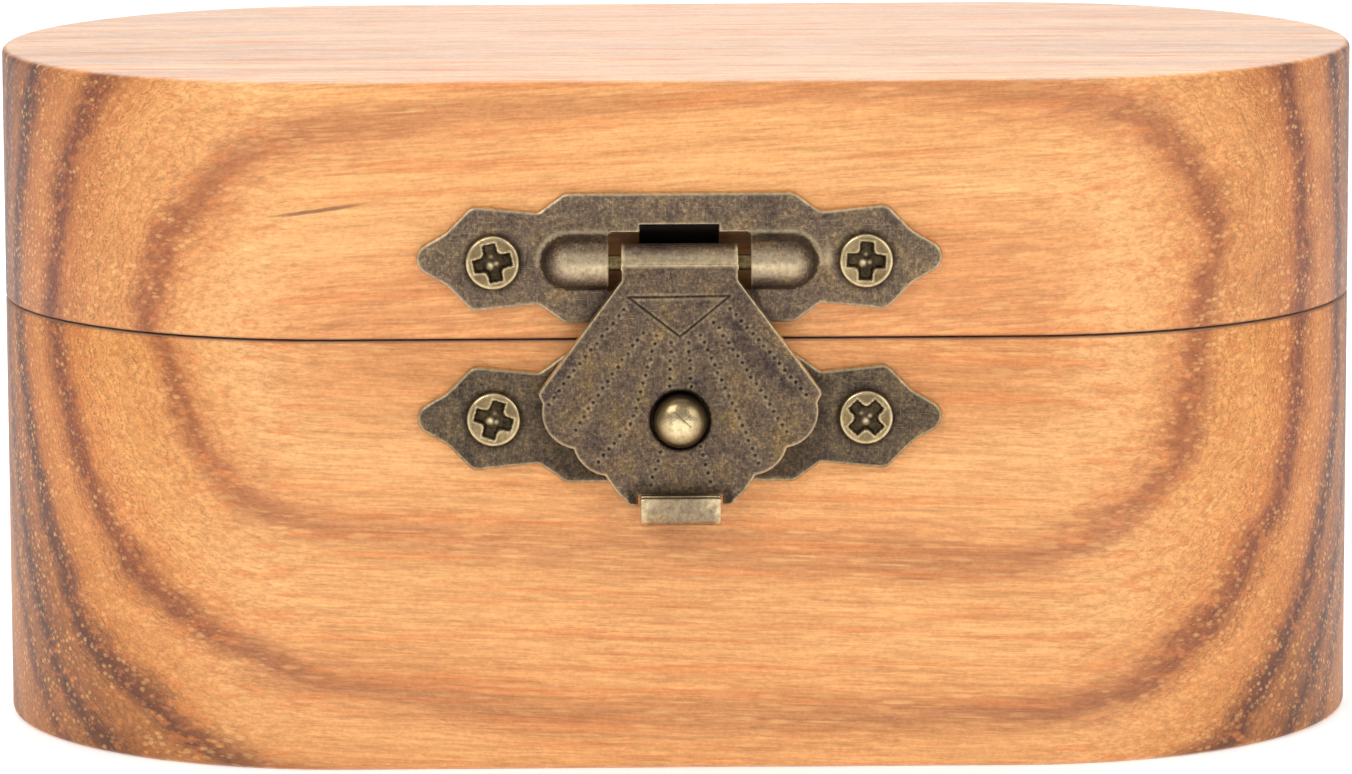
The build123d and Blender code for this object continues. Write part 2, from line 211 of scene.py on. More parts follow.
# Growth rings, by their distance from the tree's heart, which lies in front of the box
heart_y, heart_z = -33.2, 22.6
ring_bands = [
    (14.0, (214, 146, 92)), (15.3, (210, 142, 88)), (15.9, (228, 164, 106)), (16.6, (242, 184, 125)),
    (17.6, (238, 178, 117)), (18.3, (220, 154, 98)), (18.7, (180, 114, 70)), (19.15, (190, 126, 80)),
    (19.8, (234, 174, 114)), (21.6, (242, 184, 123)), (23.3, (232, 167, 107)), (24.1, (178, 114, 72)),
    (24.6, (164, 104, 68)), (25.2, (214, 152, 98)), (26.0, (240, 180, 120)), (27.6, (224, 162, 102)),
    (28.6, (150, 96, 60)), (29.1, (128, 80, 54)), (29.9, (196, 140, 86)), (31.4, (176, 122, 76)),
    (32.1, (122, 78, 54)), (33.2, (196, 142, 88)), (34.4, (150, 100, 64)), (35.4, (204, 150, 96)),
    (38.0, (214, 160, 104)), (39.6, (160, 108, 72)), (41.0, (206, 150, 98)), (43.5, (222, 166, 110)),
    (47.0, (164, 110, 72)), (48.2, (216, 160, 104)), (51.0, (186, 130, 84)), (52.5, (230, 172, 114)),
    (55.0, (204, 144, 92)), (58.0, (226, 166, 108)),
]
half_bands = len(ring_bands) // 2
# The rings close in by this much at this distance from the middle of the box
ring_squeeze, squeeze_at = 1.4, 28
# How they wander: stretch of the noise, swing in millimetres, roughness
ring_wander = [((0.022, 0.06, 0.06), 2.2, 0.5), ((0.05, 0.35, 0.35), 0.9, 0.6), ((0.3, 2.0, 2.0), 0.45, 0.75)]
# Pale vessels: stretch of the cells, size in a cell, strength along the fibres and across them
vessels = [((0.5, 2.7, 2.7), 0.36, 0.38, 0.52), ((0.22, 4.2, 4.2), 0.28, 0.42, 0.42)]
# The pale colour here is the painted sheen of the broad faces
plain_wood, sheen_colour, orange_wood = (236, 172, 110), (236, 214, 204), (216, 136, 76)
# The seam's colour is painted shade in the gap between the halves
vessel_colour, pore_colour, seam_shade_colour = (236, 184, 116), (156, 88, 44), (84, 44, 24)
wood_seed = 1.3


def ring_colours(paint, at, shift):
    """How far a point lies from the tree's heart, and the colour of its growth ring."""
    from_heart_y = paint.minus(at["Y"], heart_y + shift[0])
    from_heart_z = paint.minus(at["Z"], heart_z + shift[1])
    reach = paint.math("SQRT", paint.plus(paint.squared(from_heart_y), paint.squared(from_heart_z)))
    along = paint.math("DIVIDE", at["X"], squeeze_at)
    reach = paint.plus(reach, paint.times(paint.squared(along), ring_squeeze))
    for stretch, swing, rough in ring_wander:
        wander = paint.noise(stretch, detail=3, rough=rough, seed=wood_seed + swing)
        reach = paint.plus(reach, paint.spread(wander, 0, 1, -swing, swing))
    # One ramp can't hold all the bands, so the near ones and the far ones have one each
    ramps = []
    for bands in (ring_bands[: half_bands + 1], ring_bands[half_bands:]):
        first, last = bands[0][0], bands[-1][0]
        stops = [((distance - first) / (last - first), colour) for distance, colour in bands]
        ramps.append(paint.ramp(paint.spread(reach, first, last), stops, "LINEAR"))
    beyond = paint.math("GREATER_THAN", reach, ring_bands[half_bands][0])
    return reach, paint.mix(beyond, *ramps)


def single_mark(paint, at, centre, rise, length, width, strength, ragged):
    """Strength of a mark on the front, by its centre, slope, half length and half width."""
    x, z = centre
    u = paint.minus(at["X"], x)
    v = paint.minus(paint.minus(at["Z"], z - paint.slope * x), paint.times(u, rise - paint.slope))
    along = paint.math("DIVIDE", u, length)
    across = paint.math("DIVIDE", paint.plus(v, ragged), width)
    mark = paint.spread(paint.plus(paint.squared(along), paint.squared(across)), 0.3, 1.1, strength, 0)
    return paint.times(mark, paint.math("LESS_THAN", at["Y"], front_y + 0.6))


def wood(name, slope, shift, level, end_tint, marks=()):
    """Figured wood with its fibres along X: rings, streaks, vessels cut along or across, darker ends."""
    paint = Paint(name, slope=slope, IOR=1.48)
    at = paint.axes(paint.place((1, 1, 1)))
    facing = paint.axes(paint.node("TexCoord").outputs["Normal"])
    end_grain = paint.spread(paint.size(facing["X"]), 0.25, 0.9)
    # The rings are faint in the middle of the front
    reach, colour = ring_colours(paint, at, shift)
    colour = paint.mix(paint.spread(paint.size(at["X"]), 5, 25, 0.55, 0), colour, plain_wood)
    # Fine lines follow the rings, stronger towards the ends
    lines = paint.node("TexNoise", {"W": paint.times(reach, 2.3), "Detail": 3.0}, noise_dimensions="1D")
    darkest = paint.spread(end_grain, 0, 1, 0.90, 0.52)
    lift = paint.times(paint.spread(lines.outputs["Fac"], 0.32, 0.6), paint.minus(1.04, darkest))
    colour = paint.scaled(colour, paint.plus(darkest, lift))
    # Rings stand out more where the fibres are cut across
    contrast = paint.spread(end_grain, 0, 1, 1.0, 1.32)
    deeper = paint.node("Gamma", {"Color": colour, "Gamma": contrast}).outputs[0]
    colour = paint.scaled(deeper, paint.spread(end_grain, 0, 1, level, 1.1))
    # The broad faces, top and bottom, are painted paler: a painted sheen, the light that the top reflects
    colour = paint.mix(paint.spread(paint.size(facing["Z"]), 0.6, 1.0, 0, 0.66), colour, sheen_colour)
    # Streaks along the fibres, coarse to fine, and a slight ripple across them
    orange = paint.spread(paint.noise((0.06, 1.9, 1.9), detail=3, rough=0.6, seed=wood_seed + 5), 0.54, 0.63)
    colour = paint.mix(paint.times(orange, 0.55), colour, orange_wood)
    fibres = paint.noise((0.12, 3.0, 3.0), detail=4, rough=0.7, seed=wood_seed + 7)
    colour = paint.shaded(colour, fibres, 0.3, 0.7, 0.82, 1.11)
    hair = paint.noise((0.5, 8, 8), detail=3, rough=0.7, seed=wood_seed + 11)
    colour = paint.shaded(colour, hair, 0.3, 0.7, 0.79, 1.16)
    ripple = paint.noise((4.2, 5.5, 5.5), detail=2, rough=0.6, distortion=0.6, seed=wood_seed + 13)
    colour = paint.shaded(colour, ripple, 0.35, 0.65, 0.93, 1.06)
    # Ends are darker and mottled
    blotch = paint.noise((0.06, 0.3, 0.3), detail=4, rough=0.65, seed=wood_seed + 29)
    dim = paint.times(end_grain, paint.spread(blotch, 0.3, 0.65, 0.35, 1.0))
    colour = paint.mix(paint.times(dim, 0.95), colour, end_tint, "MULTIPLY")
    # Pale vessels: strokes along the fibres, dense dots where they are cut across
    patches = paint.noise((0.15, 0.7, 0.7), detail=2, seed=wood_seed + 17)
    for stretch, size, along, across in vessels:
        vessel = paint.spread(paint.from_cell(stretch), size - 0.16, size, 1, 0)
        crowding = paint.spread(patches, 0.38, 0.62, 0.25, 1.0)
        amount = paint.times(crowding, paint.spread(end_grain, 0, 1, along, across))
        colour = paint.mix(paint.times(vessel, amount), colour, vessel_colour)
    # Fine dark pores where vessels are few
    pore = paint.spread(paint.from_cell((0.6, 5.2, 5.2)), 0.12, 0.22, 1, 0)
    pore = paint.times(pore, paint.spread(patches, 0.52, 0.36, 0.0, 0.35))
    colour = paint.mix(pore, colour, pore_colour)
    for *shape, tone in marks:
        mark = single_mark(paint, at, *shape, paint.spread(hair, 0, 1, -0.1, 0.1))
        colour = paint.mix(mark, colour, tone)
    # Painted shade: a dark line where the halves meet
    height = paint.plus(at["Z"], paint.times(at["X"], slope))
    from_seam = paint.size(paint.minus(height, seam_height))
    colour = paint.mix(paint.spread(from_seam, 0.12, 0.17, 0.4, 0), colour, seam_shade_colour)
    rough = paint.spread(hair, 0.25, 0.75, 0.40, 0.56)
    return paint.finish(colour, rough, paint.minus(paint.times(hair, 0.5), paint.times(pore, 1.2)), 0.03, 0.5)


# Colour of grime, patina and painted shade on the brass
grime_and_shade_colour = (32, 26, 22)
# Tones that overlay the brass: fine grain and larger spots
grain_tones = [(0.33, (52, 50, 56)), (0.5, (128, 128, 128)), (0.68, (206, 200, 186))]
spot_tones = [(0.36, (84, 72, 84)), (0.52, (128, 128, 128)), (0.66, (178, 164, 134))]


def antique_brass(name, deep, mid, rubbed, shine, rough, speckle):
    """Brass under a mottled dark patina, rubbed through where wear is painted and brightened where highlights
    are painted, black where grime and painted shade are.
    """
    paint = Paint(name, Metallic=1.0)
    clouds = paint.noise((0.5, 0.5, 0.5), detail=5, rough=0.65, seed=2)
    grain = paint.noise((7, 7, 7), detail=3, rough=0.75, seed=5)
    spots = paint.noise((2.6, 2.6, 2.6), detail=3, rough=0.7, seed=9)
    colour = paint.ramp(clouds, [(0.34, deep), (0.5, mid), (0.66, rubbed)])
    colour = paint.mix(speckle, colour, paint.ramp(grain, grain_tones), "OVERLAY")
    colour = paint.mix(speckle * 0.7, colour, paint.ramp(spots, spot_tones), "OVERLAY")
    # Fine scratches in two directions
    for number, stretch in enumerate(((0.9, 9, 16), (14, 9, 1.1))):
        scratch = paint.spread(paint.noise(stretch, detail=1, seed=20 + number), 0.64, 0.72)
        colour = paint.mix(paint.times(scratch, 0.25), colour, rubbed)
    breakup = paint.noise((3.2, 3.2, 3.2), detail=3, rough=0.7, seed=31)
    wear = paint.times(paint.painted("wear"), paint.spread(breakup, 0.3, 0.6, 0.45, 1.15), clamp=True)
    colour = paint.mix(wear, colour, shine)
    grime = paint.times(paint.painted("grime"), paint.spread(breakup, 0.25, 0.65, 1.1, 0.7), clamp=True)
    colour = paint.mix(grime, colour, grime_and_shade_colour)
    # Worn and highlighted places are smoother, places of grime and painted shade rougher
    rough = paint.minus(paint.spread(spots, 0.3, 0.7, *reversed(rough)), paint.times(wear, 0.14))
    rough = paint.plus(rough, paint.times(grime, 0.2))
    return paint.finish(colour, rough, paint.plus(paint.times(grain, 0.7), spots), 0.02, 0.45)


# Single marks on the lid's front: centre, slope, half length, half width, strength and colour
dark_stroke = ((-18.2, 28.45), 0.14, 2.5, 0.12, 0.75, (112, 72, 48))
pale_fleck = ((22.9, 33.7), -1.2, 0.55, 0.25, 0.6, (250, 236, 222))
base_wood = wood("base_wood", -0.035, (0.0, -0.3), 0.92, (222, 206, 156))
lid_wood = wood("lid_wood", 0.05, (0.25, 0.6), 0.97, (194, 174, 140), (dark_stroke, pale_fleck))
# Antique brasses: from deep patina to rubbed bright, then how rough from worn to whole, and how speckled
aged = (0.42, 0.58)
brass_looks = {
    "antique_brass": ((132, 114, 104), (172, 149, 126), (194, 168, 130), (230, 208, 168), aged, 0.75),
    "dark_antique_brass": ((114, 101, 90), (149, 130, 108), (172, 148, 114), (224, 204, 162), aged, 0.75),
    "leaf_antique_brass": ((121, 104, 97), (159, 137, 116), (188, 158, 115), (228, 206, 164), aged, 0.75),
    "screw_brass": ((134, 112, 80), (160, 138, 101), (188, 166, 124), (224, 204, 160), (0.34, 0.48), 0.35),
    "knob_brass": ((110, 91, 62), (134, 113, 78), (160, 138, 98), (230, 206, 160), (0.26, 0.4), 0.25),
    "pin_brass": ((112, 96, 70), (150, 132, 94), (176, 158, 114), (214, 192, 144), aged, 0.6),
}
brasses = [antique_brass(name, *look) for name, look in brass_looks.items()]
plate_brass, dark_brass, leaf_brass, screw_brass, knob_brass, pin_brass = brasses


# Numbers over points, as arrays


def falls(value, start, width):
    """1 up to start, down to 0 over the width after it."""
    return np.clip(1 - (value - start) / width, 0, 1)


def rises(value, start, width):
    """0 up to start, up to 1 over the width after it."""
    return np.clip((value - start) / width, 0, 1)


def peaks(value, middle, width):
    """1 in the middle, down to 0 at the width on both sides."""
    return np.clip(1 - np.abs(value - middle) / width, 0, 1)


def off_centre(points, x, z):
    return np.hypot(points[:, 0] - x, points[:, 1] - z)


def blend_up(low, high, width):
    """The larger of two heights, with a smooth fillet where they meet."""
    t = np.clip(0.5 + 0.5 * (high - low) / width, 0, 1)
    return low * (1 - t) + high * t + width * t * (1 - t)


def rim(gap, radius):
    """How much a rounded edge lies under the flat, at a distance from the rim."""
    inner = np.clip(radius - gap, 0, radius)
    return radius - np.sqrt(np.maximum(radius**2 - inner**2, 0))


def inside(points, loop):
    """Which points lie inside a closed loop."""
    x, z = points[:, 0], points[:, 1]
    within = np.zeros(len(points), bool)
    for (x0, z0), (x1, z1) in zip(loop, loop[1:] + loop[:1]):
        if z0 != z1:
            within ^= ((z0 > z) != (z1 > z)) & (x < (x1 - x0) * (z - z0) / (z1 - z0) + x0)
    return within


def distance(points, loop, closed=True):
    """How far each point lies from a chain of straight runs."""
    ends = loop[1:] + loop[:1] if closed else loop[1:]
    best = np.full(len(points), np.inf)
    for (x0, z0), (x1, z1) in zip(loop, ends):
        run = np.array((x1 - x0, z1 - z0))
        t = np.clip(((points - (x0, z0)) @ run) / max(run @ run, 1e-12), 0, 1)
        gap = points - (x0, z0) - t[:, None] * run
        best = np.minimum(best, np.hypot(gap[:, 0], gap[:, 1]))
    return best


# Outlines, as lists of points


def arc(centre, start, sweep, steps):
    """Points round a centre, from start, which is relative to it. Both are complex numbers."""
    points = [centre + start * np.exp(1j * sweep * k / steps) for k in range(steps + 1)]
    return [(p.real, p.imag) for p in points]


def circle(x, z, radius, steps=48):
    return arc(complex(x, z), radius, 2 * pi, steps)[:-1]


def ring_arc(y, z, radius, start, end, steps=39):
    """An arc between two angles in degrees."""
    return arc(complex(y, z), radius * np.exp(1j * radians(start)), radians(end - start), steps)


def arc_through(start, bulge, end, steps):
    """Points of the circle's arc through three points, without its start."""
    a, b, c = (complex(*p) for p in (start, bulge, end))
    w = (c - a) / (b - a)
    centre = a - (a - b) * (w - abs(w) ** 2) / (2j * w.imag)
    sweep = np.angle((c - centre) / (a - centre))
    return arc(centre, a - centre, sweep, steps)[1:]


def rounded(corners, step=9, x=0, z=0):
    """Points of a closed outline given as (corner, radius), moved by x and z, its corners as arcs."""
    points = []
    corners = [((x + corner[0], z + corner[1]), radius) for corner, radius in corners]
    for i, (corner, radius) in enumerate(corners):
        if radius == 0:
            points.append(corner)
            continue
        here = Vector(corner)
        before = (Vector(corners[i - 1][0]) - here).normalized()
        after = (Vector(corners[(i + 1) % len(corners)][0]) - here).normalized()
        half = before.angle(after) / 2
        middle = here + (before + after).normalized() * radius / sin(half)
        start = here + before * radius / np.tan(half) - middle
        sweep = pi - 2 * half
        side = 1 if before.x * after.y < before.y * after.x else -1
        # An arc has one step for about each step degrees
        steps = max(2, int(np.degrees(sweep) / step) + 1)
        points += arc(complex(*middle), complex(*start), side * sweep, steps)
    return points


def mirrored(corners):
    """The corners of one half and those of its mirror image."""
    return corners + [((-x, z), radius) for (x, z), radius in reversed(corners)]


def divided(loop, longest):
    """The same closed loop with no side longer than longest."""
    out = []
    for (x0, z0), (x1, z1) in zip(loop, loop[1:] + loop[:1]):
        parts = max(1, int(hypot(x1 - x0, z1 - z0) / longest + 0.999))
        out += [(x0 + (x1 - x0) * k / parts, z0 + (z1 - z0) * k / parts) for k in range(parts)]
    return out


def sideways(along):
    """Unit vectors at right angles to the rows."""
    return np.stack((-along[:, 1], along[:, 0]), 1) / np.maximum(np.hypot(*along.T), 1e-9)[:, None]


def bent_strip(path, thickness):
    """Outline of a bent strip, from the middle line of its section."""
    p = np.array(path)
    out = sideways(np.gradient(p, axis=0)) * thickness / 2
    return [tuple(q) for q in p + out] + [tuple(q) for q in (p - out)[::-1]]


def eased(points, radius, step=12):
    """An open line with its corners as arcs."""
    return rounded([(p, radius if 0 < k < len(points) - 1 else 0) for k, p in enumerate(points)], step)


# Meshes, from sizes in millimetres


def shade(mesh, smooth_angle):
    """Outward faces, smooth except over sharp edges."""
    work = bmesh.new()
    work.from_mesh(mesh)
    bmesh.ops.recalc_face_normals(work, faces=work.faces)
    for face in work.faces:
        face.smooth = True
    for edge in work.edges:
        edge.smooth = len(edge.link_faces) == 2 and edge.calc_face_angle(0) < radians(smooth_angle)
    work.to_mesh(mesh)
    work.free()


def paint_on(mesh, key, values):
    """Numbers for the material, one a vertex."""
    layer = mesh.attributes.get(key) or mesh.attributes.new(key, "FLOAT", "POINT")
    layer.data.foreach_set("value", np.asarray(values, dtype=np.float32))


def piece(name, vertices, faces, material, smooth_angle=32, **painted):
    """An object from points and faces, with painted numbers for its material."""
    mesh = bpy.data.meshes.new(name)
    mesh.from_pydata([Vector(v) * mm for v in vertices], [], faces)
    shade(mesh, smooth_angle)
    for key, values in painted.items():
        paint_on(mesh, key, values)
    mesh.materials.append(material)
    return put(name, mesh)


def loft_faces(count, rings):
    """Faces between rings of count points each, and over the first and the last."""
    last = (rings - 1) * count
    faces = [tuple(range(count)), tuple(reversed(range(last, last + count)))]
    for a in range(0, last, count):
        for k in range(count):
            n = (k + 1) % count
            faces.append((a + k, a + n, a + n + count, a + k + count))
    return faces


def joined(first, *others):
    """The other pieces joined into the first."""
    bpy.ops.object.select_all(action="DESELECT")
    for obj in (first, *others):
        obj.select_set(True)
    bpy.context.view_layer.objects.active = first
    bpy.ops.object.join()
    return first


def apply(obj, modifier):
    bpy.context.view_layer.objects.active = obj
    bpy.ops.object.modifier_apply(modifier=modifier.name)


def stands_for(obj, node, body):
    """The piece takes a part's place and moves with its body."""
    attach(obj, body)
    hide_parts(node)


def relief(
    name, outline, holes, plane, height, paints, material, spacing,
    ring=(0.05, 0.11, 0.19), extra=(), facing=-1,
):
    """A flat piece with a shaped front.

    height gives the thickness at points, and paints their wear and painted highlights, grime and painted
    shade, both also from their distance from the rim. Triangles are about spacing wide, with rows of points
    at the ring distances from the rim and extra points. facing is the side of the back that the front is on.
    """
    loops = [divided(loop, spacing) for loop in (outline, *holes)]
    low, high = np.min(loops[0], axis=0), np.max(loops[0], axis=0)
    columns = np.arange(low[0], high[0], spacing)
    rows = np.arange(low[1], high[1], spacing * 0.87)
    grid = np.array([(x + (j % 2) * spacing / 2, z) for j, z in enumerate(rows) for x in columns])

    def solid(points):
        ok = inside(points, loops[0])
        for hole in loops[1:]:
            ok &= ~inside(points, hole)
        return ok

    def to_rim(points):
        return np.min([distance(points, loop) for loop in loops], axis=0)

    def kept(points, clear):
        """The points that lie inside and clear of the rim."""
        points = points[solid(points)]
        return [tuple(p) for p in points[to_rim(points) > clear]]

    points, edges = [], []
    for loop in loops:
        first = len(points)
        points += loop
        edges += [(first + k, first + (k + 1) % len(loop)) for k in range(len(loop))]
    for loop in loops:
        p = np.array(loop)
        out = sideways(np.roll(p, -1, 0) - np.roll(p, 1, 0))
        for offset in ring:
            for side in (-1, 1):
                points += kept(p + side * out * offset, 0.9 * offset)
    points += kept(grid, ring[-1] + spacing * 0.35) + kept(np.reshape(extra, (-1, 2)), 0.03)
    found, _, triangles, *_ = delaunay_2d_cdt([Vector(p) for p in points], edges, [], 0, 1e-5)
    found, triangles = np.array(found), np.array(triangles)
    triangles = triangles[solid(found[triangles].mean(1))]
    # Points that no triangle uses go
    used, triangles = np.unique(triangles, return_inverse=True)
    found, triangles = found[used], triangles.reshape(-1, 3)
    gap, count = to_rim(found), len(found)
    x, z = found.T
    front = np.column_stack((x, plane + facing * height(found, gap), z))
    back = np.column_stack((x, np.full(count, plane), z))
    sides = np.sort(np.concatenate((triangles[:, :2], triangles[:, 1:], triangles[:, [0, 2]])), axis=1)
    pairs, times = np.unique(sides, axis=0, return_counts=True)
    walls = [(a, b, b + count, a + count) for a, b in pairs[times == 1]]
    faces = [tuple(t) for t in triangles] + [tuple(t[::-1] + count) for t in triangles] + walls
    painted = {key: np.concatenate((value, value)) for key, value in paints(found, gap).items()}
    return piece(name, np.concatenate((front, back)), faces, material, **painted)


prism_stations = (0, 0.04, 0.1, 0.3, 0.5, 0.7, 0.9, 0.96, 1)
edge_wear = 0.8


def prism(name, profile, x0, x1, material, edge=0.0, wear=0.0, grime=0.0):
    """A profile in the YZ plane run along X, with its edges softened and worn."""
    vertices = [(x0 + (x1 - x0) * t, y, z) for t in prism_stations for y, z in profile]
    made = piece(name, vertices, loft_faces(len(profile), len(prism_stations)), material)
    if edge:
        change = made.modifiers.new("soften", "BEVEL")
        change.width, change.segments = edge * mm, 2
        change.limit_method, change.angle_limit = "ANGLE", radians(40)
        apply(made, change)
    worn = np.full(len(made.data.vertices), wear)
    for polygon in made.data.polygons:
        if polygon.area < (edge * mm) ** 2 * 3:
            worn[list(polygon.vertices)] = max(wear, edge_wear)
    paint_on(made.data, "wear", worn)
    paint_on(made.data, "grime", np.full(len(worn), grime))
    return made


def lathe(name, profile, axis_point, direction, material, steps):
    """A profile of (radius, height) or (radius, height, wear and highlight, grime and shade) turned about an
    axis along direction.
    """
    axis, start = Vector(direction), Vector(axis_point)
    across = axis.orthogonal().normalized()
    other = axis.cross(across)
    vertices, painted, faces, rings = [], [], [], []
    for radius, height, *paints in profile:
        angles = [0] if radius == 0 else [2 * pi * k / steps for k in range(steps)]
        rings.append((len(vertices), len(angles)))
        vertices += [start + axis * height + (across * cos(a) + other * sin(a)) * radius for a in angles]
        painted += [paints or (0, 0)] * len(angles)
    for (a, na), (b, nb) in zip(rings, rings[1:]):
        for k in range(steps):
            n = (k + 1) % steps
            faces.append(tuple(dict.fromkeys((a + k % na, a + n % na, b + n % nb, b + k % nb))))
    wear, grime = zip(*painted)
    return piece(name, vertices, faces, material, wear=wear, grime=grime)


# Wooden shells

arc_steps, flat_steps, corner_steps = 72, 40, 6
shell_smooth = 28


def obround(inset):
    """One turn of the box's outline, moved inwards."""
    half_flat, radius = (box_length - box_depth) / 2, box_depth / 2 - inset
    loop = ring_arc(half_flat, 0, radius, -90, 90, arc_steps)
    loop += [(half_flat - 2 * half_flat * k / flat_steps, radius) for k in range(1, flat_steps)]
    return loop + [(-x, -y) for x, y in loop]


def quarter(inset, z, radius, up_sign):
    """Insets and heights of the rings that round an edge from a flat face to a wall."""
    angles = [k / corner_steps * pi / 2 for k in range(corner_steps + 1)]
    return [(inset + radius * (1 - sin(a)), z + up_sign * radius * (1 - cos(a))) for a in angles]


def shell(name, flat_z, rim_z, pocket_z, material):
    """A wooden half: outside, rim and pocket in one closed skin. flat_z is its outer flat face."""
    up_sign = 1 if rim_z > flat_z else -1
    # The rim's bevels, from the outside to the wall: each as three insets and depths under the rim
    bevel = [(0, seam_bevel), (0.03, 0.03), (seam_bevel, 0)]
    rings = quarter(0, flat_z, outer_round, up_sign)
    rings += [(0, flat_z + (rim_z - flat_z) * t) for t in (0.3, 0.6)]
    rings += [(inset, rim_z - up_sign * depth) for inset, depth in bevel]
    rings += [(wall - inset, rim_z - up_sign * depth) for inset, depth in reversed(bevel)]
    rings += reversed(quarter(wall, pocket_z, pocket_round, up_sign))
    vertices = [(x, y, z) for inset, z in rings for x, y in obround(inset)]
    faces = loft_faces(len(obround(0)), len(rings))
    return piece(name, vertices, faces, material, shell_smooth)


base_top, lid_bottom = seam_height - seam_gap / 2, seam_height + seam_gap / 2
base_piece = shell("base_wood_shell", 0, base_top, base_floor, base_wood)
lid_piece = shell("lid_wood_shell", box_height, lid_bottom, box_height - lid_ceiling, lid_wood)

# Pocket in the lid's front, where the hasp's knuckle turns
pocket_x, pocket_low, pocket_high, pocket_deep = 4.2, 24.0, 28.35, 1.5
pocket_mouth, pocket_back = front_y - 1, front_y + pocket_deep
pocket_profile = [(pocket_mouth, pocket_low), (pocket_mouth, pocket_high)]
pocket_profile += [(pocket_back, pocket_high), (pocket_back, pocket_low)]
cutter = prism("cutter", pocket_profile, latch_x - pocket_x, latch_x + pocket_x, lid_wood)
cut = lid_piece.modifiers.new("pocket", "BOOLEAN")
cut.object, cut.operation, cut.solver = cutter, "DIFFERENCE", "EXACT"
apply(lid_piece, cut)
bpy.data.objects.remove(cutter)
shade(lid_piece.data, shell_smooth)
stands_for(base_piece, "base_shell", "base")
stands_for(lid_piece, "lid_shell", "lid")


# Latch plates

plate_quarter = [((13.95, 0), 0.83), ((11.65, 1.33), 1.6), ((10.35, 2.66), 0.7)]
plate_quarter += [((7.05, 2.33), 0.35), ((5.72, 3.29), 0.7)]
upper_half = mirrored(plate_quarter)
plate_corners = upper_half + [((-x, -z), r) for (x, z), r in upper_half if z]
plate_rim, window_rim = 0.2, 0.05
screw_spacing = 18.6
screw_places = (latch_x - screw_spacing / 2, latch_x + screw_spacing / 2)
upper_screw_z, lower_screw_z = upper_plate_z - 0.15, lower_plate_z
screw_hole, head_radius = 0.95, 1.35
window_half, window_top, window_low = 3.55, 27.34, 24.4
tab_half, tab_top, tab_low = 1.98, 27.72, hasp_axis_z - 0.6
barrel_radius, barrel_length = 1.3, 3.3
# The sheet rises gently towards the foot of each half-barrel
foot_width, foot_rise, barrel_fillet, barrel_sunk = 0.35, 0.1, 0.22, 0.35


def plate_outline(centre_z):
    return rounded(plate_corners, x=latch_x, z=centre_z)


def dark_ring_round_screws(points, screw_z):
    """Darker in a ring around each screw head."""
    rings = [falls(off_centre(points, x, screw_z), head_radius, 0.32) for x in screw_places]
    return np.max(rings, axis=0) * 0.85


def from_barrel(points):
    """Distance from the middle line of the nearest half-barrel, and whether a point is beside the window."""
    straight = barrel_length - barrel_radius
    out = np.abs(points[:, 0] - latch_x)
    off = np.hypot(np.maximum(out - (window_half + straight), 0), points[:, 1] - hasp_axis_z)
    return off, out > window_half - 0.01


def upper_height(points, gap):
    flat = sheet - rim(distance(points, upper_outline), plate_rim)
    off, beside = from_barrel(points)
    barrel = hasp_stand_off + np.sqrt(np.maximum(barrel_radius**2 - off**2, 0))
    shaped = blend_up(flat, np.where(off < barrel_radius, barrel, flat - barrel_sunk), barrel_fillet)
    foot = falls(off, barrel_radius, foot_width) ** 2 * foot_rise
    return np.where(beside, shaped + foot * (off > barrel_radius), flat) - rim(gap, window_rim)


def upper_paints(points, gap):
    z = points[:, 1]
    off, beside = from_barrel(points)
    on_barrel = (off < barrel_radius) * beside
    # The half-barrels' crowns are rubbed bright and carry a painted highlight
    crown = falls(off, 0, 0.95) ** 1.3 * 0.75 * on_barrel
    foot = peaks(off, barrel_radius + 0.22, 0.16) * 0.45 * (z > hasp_axis_z - 0.2) * beside
    # A golden streak right of the right half-barrel, and a painted highlight on the window's upper rim
    streak = np.hypot((points[:, 0] - latch_x - 7.4) / 0.3, (z - 26.1) / 0.8)
    lit_rim = falls(gap, 0, 0.13) * (z > window_top - 0.35) * (distance(points, window) < 0.15)
    edge = falls(distance(points, upper_outline), 0, 0.2) * 0.8
    rims = falls(gap, 0, 0.09) * 0.6
    wear = np.maximum.reduce([edge, crown, foot, rims, falls(streak, 0.1, 1) * 0.45, lit_rim])
    # Painted shade on the half-barrels' flanks and on their lower halves
    flank_shade = rises(off, 0.55, 0.6) * 0.55 * on_barrel
    hollow = peaks(off, barrel_radius - 0.12, 0.34) * 0.8 * beside
    lower_shade = rises(hasp_axis_z - z, 0.5, 0.9) * (off < barrel_radius + 0.1) * 0.55 * beside
    grime = np.maximum.reduce([hollow, lower_shade, flank_shade, dark_ring_round_screws(points, upper_screw_z)])
    return {"wear": wear * (1 - hollow * 0.8), "grime": grime}


upper_outline = plate_outline(upper_plate_z)
window_side = [((window_half, window_low), 0.1), ((window_half, window_top), 0.22)]
window_side += [((tab_half, window_top), 0.05), ((tab_half, tab_top), 0)]
window = rounded(mirrored(window_side), x=latch_x)
upper_holes = [window] + [circle(x, upper_screw_z, screw_hole) for x in screw_places]
upper_plate = relief(
    "upper_latch_plate_pressed", upper_outline, upper_holes, front_y,
    upper_height, upper_paints, plate_brass, 0.14,
)

# The tab is bent in from the window's top and down behind the knuckle, and is painted black for the shade it
# lies in
tab_front, tab_back = front_y - sheet / 2, front_y + 0.58
tab_corners = [(tab_front, tab_top), (tab_front, tab_top - 0.12), (tab_back, 26.75), (tab_back, tab_low)]
tab_section = bent_strip(eased(tab_corners, 0.3), sheet - 0.06)
tab = prism("tab", tab_section, latch_x - tab_half, latch_x + tab_half, plate_brass, edge=0.04, grime=1.6)
upper_plate = joined(upper_plate, tab)
stands_for(upper_plate, "upper_latch_plate", "lid")


def lower_height(points, gap):
    return sheet - rim(distance(points, lower_outline), plate_rim)


